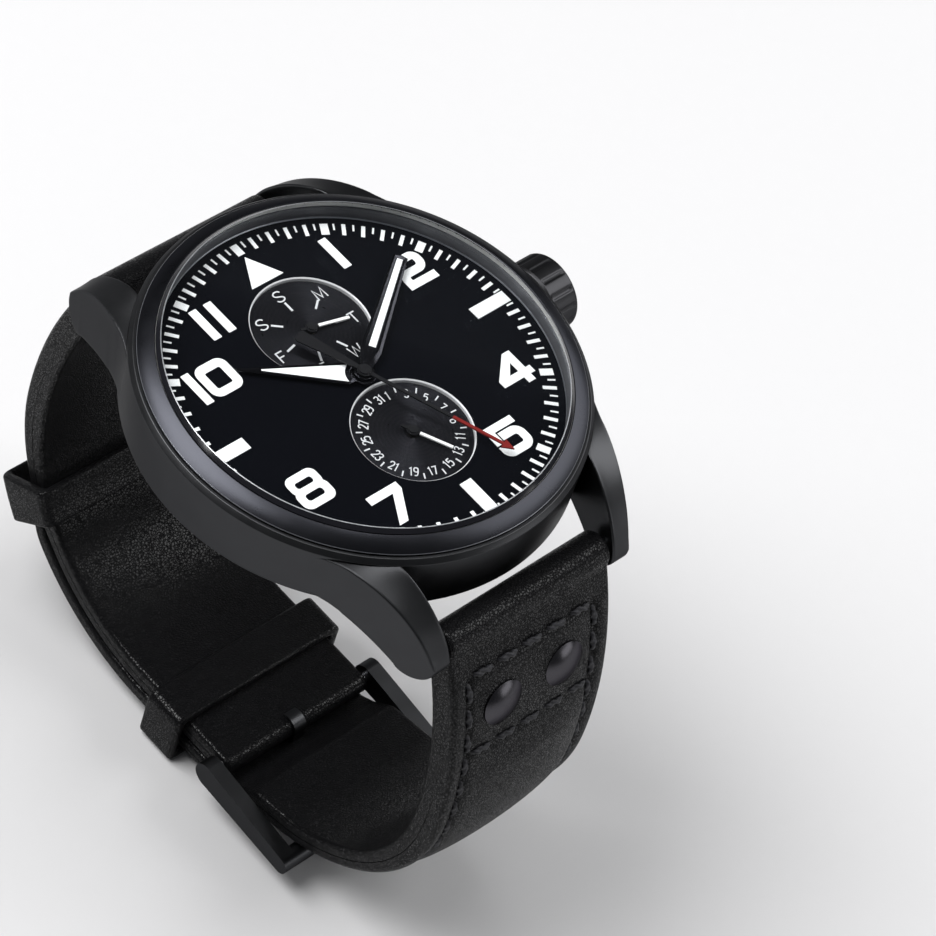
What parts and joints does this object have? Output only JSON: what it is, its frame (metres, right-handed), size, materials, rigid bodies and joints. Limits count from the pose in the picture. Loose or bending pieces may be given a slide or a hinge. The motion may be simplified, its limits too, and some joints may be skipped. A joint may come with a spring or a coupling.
{
  "type": "wristwatch with day and date sub-dials",
  "caption": "Round black wristwatch with weekday and date sub-dials, fluted crown, riveted leather strap and tang buckle, buckled as worn.",
  "frame": {"origin": "centre of the flat outer face of the case back", "axes": "+Z out of the dial, +Y toward 12 o'clock, +X toward the crown at 3 o'clock"},
  "size_m": [0.0501, 0.0644, 0.0606],
  "materials": {
    "case_black": "matte black coating, fine satin grain",
    "bezel_black": "satin black coating",
    "crystal": "clear, polished",
    "white_nylon": "moulded",
    "wall_black": "satin black",
    "rubber": "smooth",
    "steel": "fine brushed",
    "holder_grey": "moulded",
    "crown_black": "satin black coating",
    "dial_black": "matte black with a blue cast",
    "subdial_black": "snailed satin black",
    "marker_white": "raised matte white",
    "hand_black": "gloss black",
    "lume": "luminous white",
    "seconds_red": "black with a red front half",
    "small_white": "black with a white front half",
    "brass": "plated, machined",
    "magnet": "sintered grey",
    "copper": "enamelled wire",
    "board": "green board",
    "leather": "fine grain, black, stitched",
    "rivet_black": "gloss black"
  },
  "bodies": {
    "case": {"mid_case": "case_black", "bezel": "bezel_black", "crystal": "crystal", "crystal_gasket": "white_nylon", "rehaut_ring": "wall_black", "case_back": "case_black", "case_back_gasket": "rubber", "case_back_screws": "steel", "crown_tube": "steel", "movement_holder": "holder_grey", "dial": "dial_black", "day_subdial": "subdial_black", "date_subdial": "subdial_black", "dial_markers": "marker_white", "main_plate": "brass", "train_bridge": "brass", "stator": "steel", "coil": "copper", "circuit_board": "board", "battery": "steel", "battery_clip": "brass", "bridge_screws": "steel", "spring_bar_12": "steel", "spring_bar_6": "steel"},
    "seconds": {"seconds_wheel": "brass", "seconds_hand": "seconds_red"},
    "minute": {"cannon_pinion": "brass", "minute_hand": "hand_black", "minute_hand_lume": "lume"},
    "hour": {"hour_wheel": "brass", "hour_hand": "hand_black", "hour_hand_lume": "lume"},
    "third": {"third_wheel": "brass"},
    "fifth": {"fifth_wheel": "brass"},
    "motor_rotor": {"rotor": "magnet"},
    "minute_idler": {"minute_wheel": "brass"},
    "calendar": {"calendar_wheel": "brass"},
    "day": {"day_wheel": "brass", "day_hand": "small_white"},
    "date": {"date_wheel": "brass", "date_hand": "small_white"},
    "winder": {"winding_pinion": "steel"},
    "crown": {"crown": "crown_black", "stem": "steel", "crown_gasket": "rubber"},
    "lever": {"setting_lever": "steel"},
    "strap_upper": {"strap_12": "leather", "rivets_12": "rivet_black", "keeper_fixed": "leather"},
    "strap_lower": {"strap_6": "leather", "rivets_6": "rivet_black"},
    "keeper": {"keeper_free": "leather"},
    "buckle": {"buckle_frame": "case_black", "buckle_bar": "steel"},
    "tang": {"buckle_tang": "case_black"}
  },
  "joints": [
    {"name": "seconds_turn", "type": "hinge", "parent": "case", "child": "seconds", "pos_m": [0, 0, 0.006], "axis": [0, 0, -1], "continuous": true},
    {"name": "minute_turn", "type": "hinge", "parent": "case", "child": "minute", "pos_m": [0, 0, 0.006], "axis": [0, 0, -1], "continuous": true},
    {"name": "hour_turn", "type": "hinge", "parent": "case", "child": "hour", "pos_m": [0, 0, 0.007], "axis": [0, 0, -1], "continuous": true},
    {"name": "third_turn", "type": "hinge", "parent": "case", "child": "third", "pos_m": [-0.00338, -0.00123, 0.0045], "axis": [0, 0, -1], "continuous": true},
    {"name": "fifth_turn", "type": "hinge", "parent": "case", "child": "fifth", "pos_m": [-0.00123, 0.00338, 0.0034], "axis": [0, 0, -1], "continuous": true},
    {"name": "rotor_turn", "type": "hinge", "parent": "case", "child": "motor_rotor", "pos_m": [-0.00418, 0.00508, 0.0036], "axis": [0, 0, -1], "continuous": true},
    {"name": "minute_idler_turn", "type": "hinge", "parent": "case", "child": "minute_idler", "pos_m": [0.0036, 0, 0.0064], "axis": [0, 0, -1], "continuous": true},
    {"name": "calendar_turn", "type": "hinge", "parent": "case", "child": "calendar", "pos_m": [-0.00864, 0, 0.0067], "axis": [0, 0, -1], "continuous": true},
    {"name": "day_turn", "type": "hinge", "parent": "case", "child": "day", "pos_m": [0, 0.0075, 0.007], "axis": [0, 0, -1], "continuous": true},
    {"name": "date_turn", "type": "hinge", "parent": "case", "child": "date", "pos_m": [0, -0.0075, 0.007], "axis": [0, 0, -1], "continuous": true},
    {"name": "crown_turn", "type": "hinge", "parent": "case", "child": "winder", "pos_m": [0.0138, 0, 0.00437], "axis": [1, 0, 0], "continuous": true},
    {"name": "crown_pull", "type": "slide", "parent": "winder", "child": "crown", "axis": [1, 0, 0], "range_m": [0, 0.0012]},
    {"name": "lever_swing", "type": "hinge", "parent": "case", "child": "lever", "pos_m": [0.0118, 0.003, 0.00437], "axis": [0, 0, 1], "range_deg": [0, 23]},
    {"name": "strap_upper_swing", "type": "hinge", "parent": "case", "child": "strap_upper", "pos_m": [0, 0.0251, 0.00115], "axis": [1, 0, 0], "range_deg": [-0.4, 0.4]},
    {"name": "strap_lower_swing", "type": "hinge", "parent": "case", "child": "strap_lower", "pos_m": [0, -0.0251, 0.00115], "axis": [1, 0, 0], "range_deg": [-0.4, 0.4]},
    {"name": "keeper_slide", "type": "hinge", "parent": "strap_upper", "child": "keeper", "pos_m": [0, 0.0082, -0.022], "axis": [1, 0, 0], "range_deg": [-12, 10]},
    {"name": "buckle_swing", "type": "hinge", "parent": "strap_upper", "child": "buckle", "pos_m": [0, -0.0052, -0.0448], "axis": [1, 0, 0], "range_deg": [-0.5, 2]},
    {"name": "tang_swing", "type": "hinge", "parent": "buckle", "child": "tang", "pos_m": [0, -0.0052, -0.0448], "axis": [1, 0, 0], "range_deg": [0, 20]}
  ],
  "couplings": [
    {"joint": "minute_turn", "follows": "seconds_turn", "ratio": 0.016667},
    {"joint": "hour_turn", "follows": "seconds_turn", "ratio": 0.0013889},
    {"joint": "third_turn", "follows": "seconds_turn", "ratio": -0.13333},
    {"joint": "fifth_turn", "follows": "seconds_turn", "ratio": -4},
    {"joint": "rotor_turn", "follows": "seconds_turn", "ratio": 30},
    {"joint": "minute_idler_turn", "follows": "seconds_turn", "ratio": -0.0055556},
    {"joint": "calendar_turn", "follows": "seconds_turn", "ratio": -0.00069444},
    {"joint": "day_turn", "follows": "seconds_turn", "ratio": 0.000099206},
    {"joint": "date_turn", "follows": "seconds_turn", "ratio": 0.000022401},
    {"joint": "lever_swing", "follows": "crown_pull", "rad_per_m": 333.33}
  ]
}
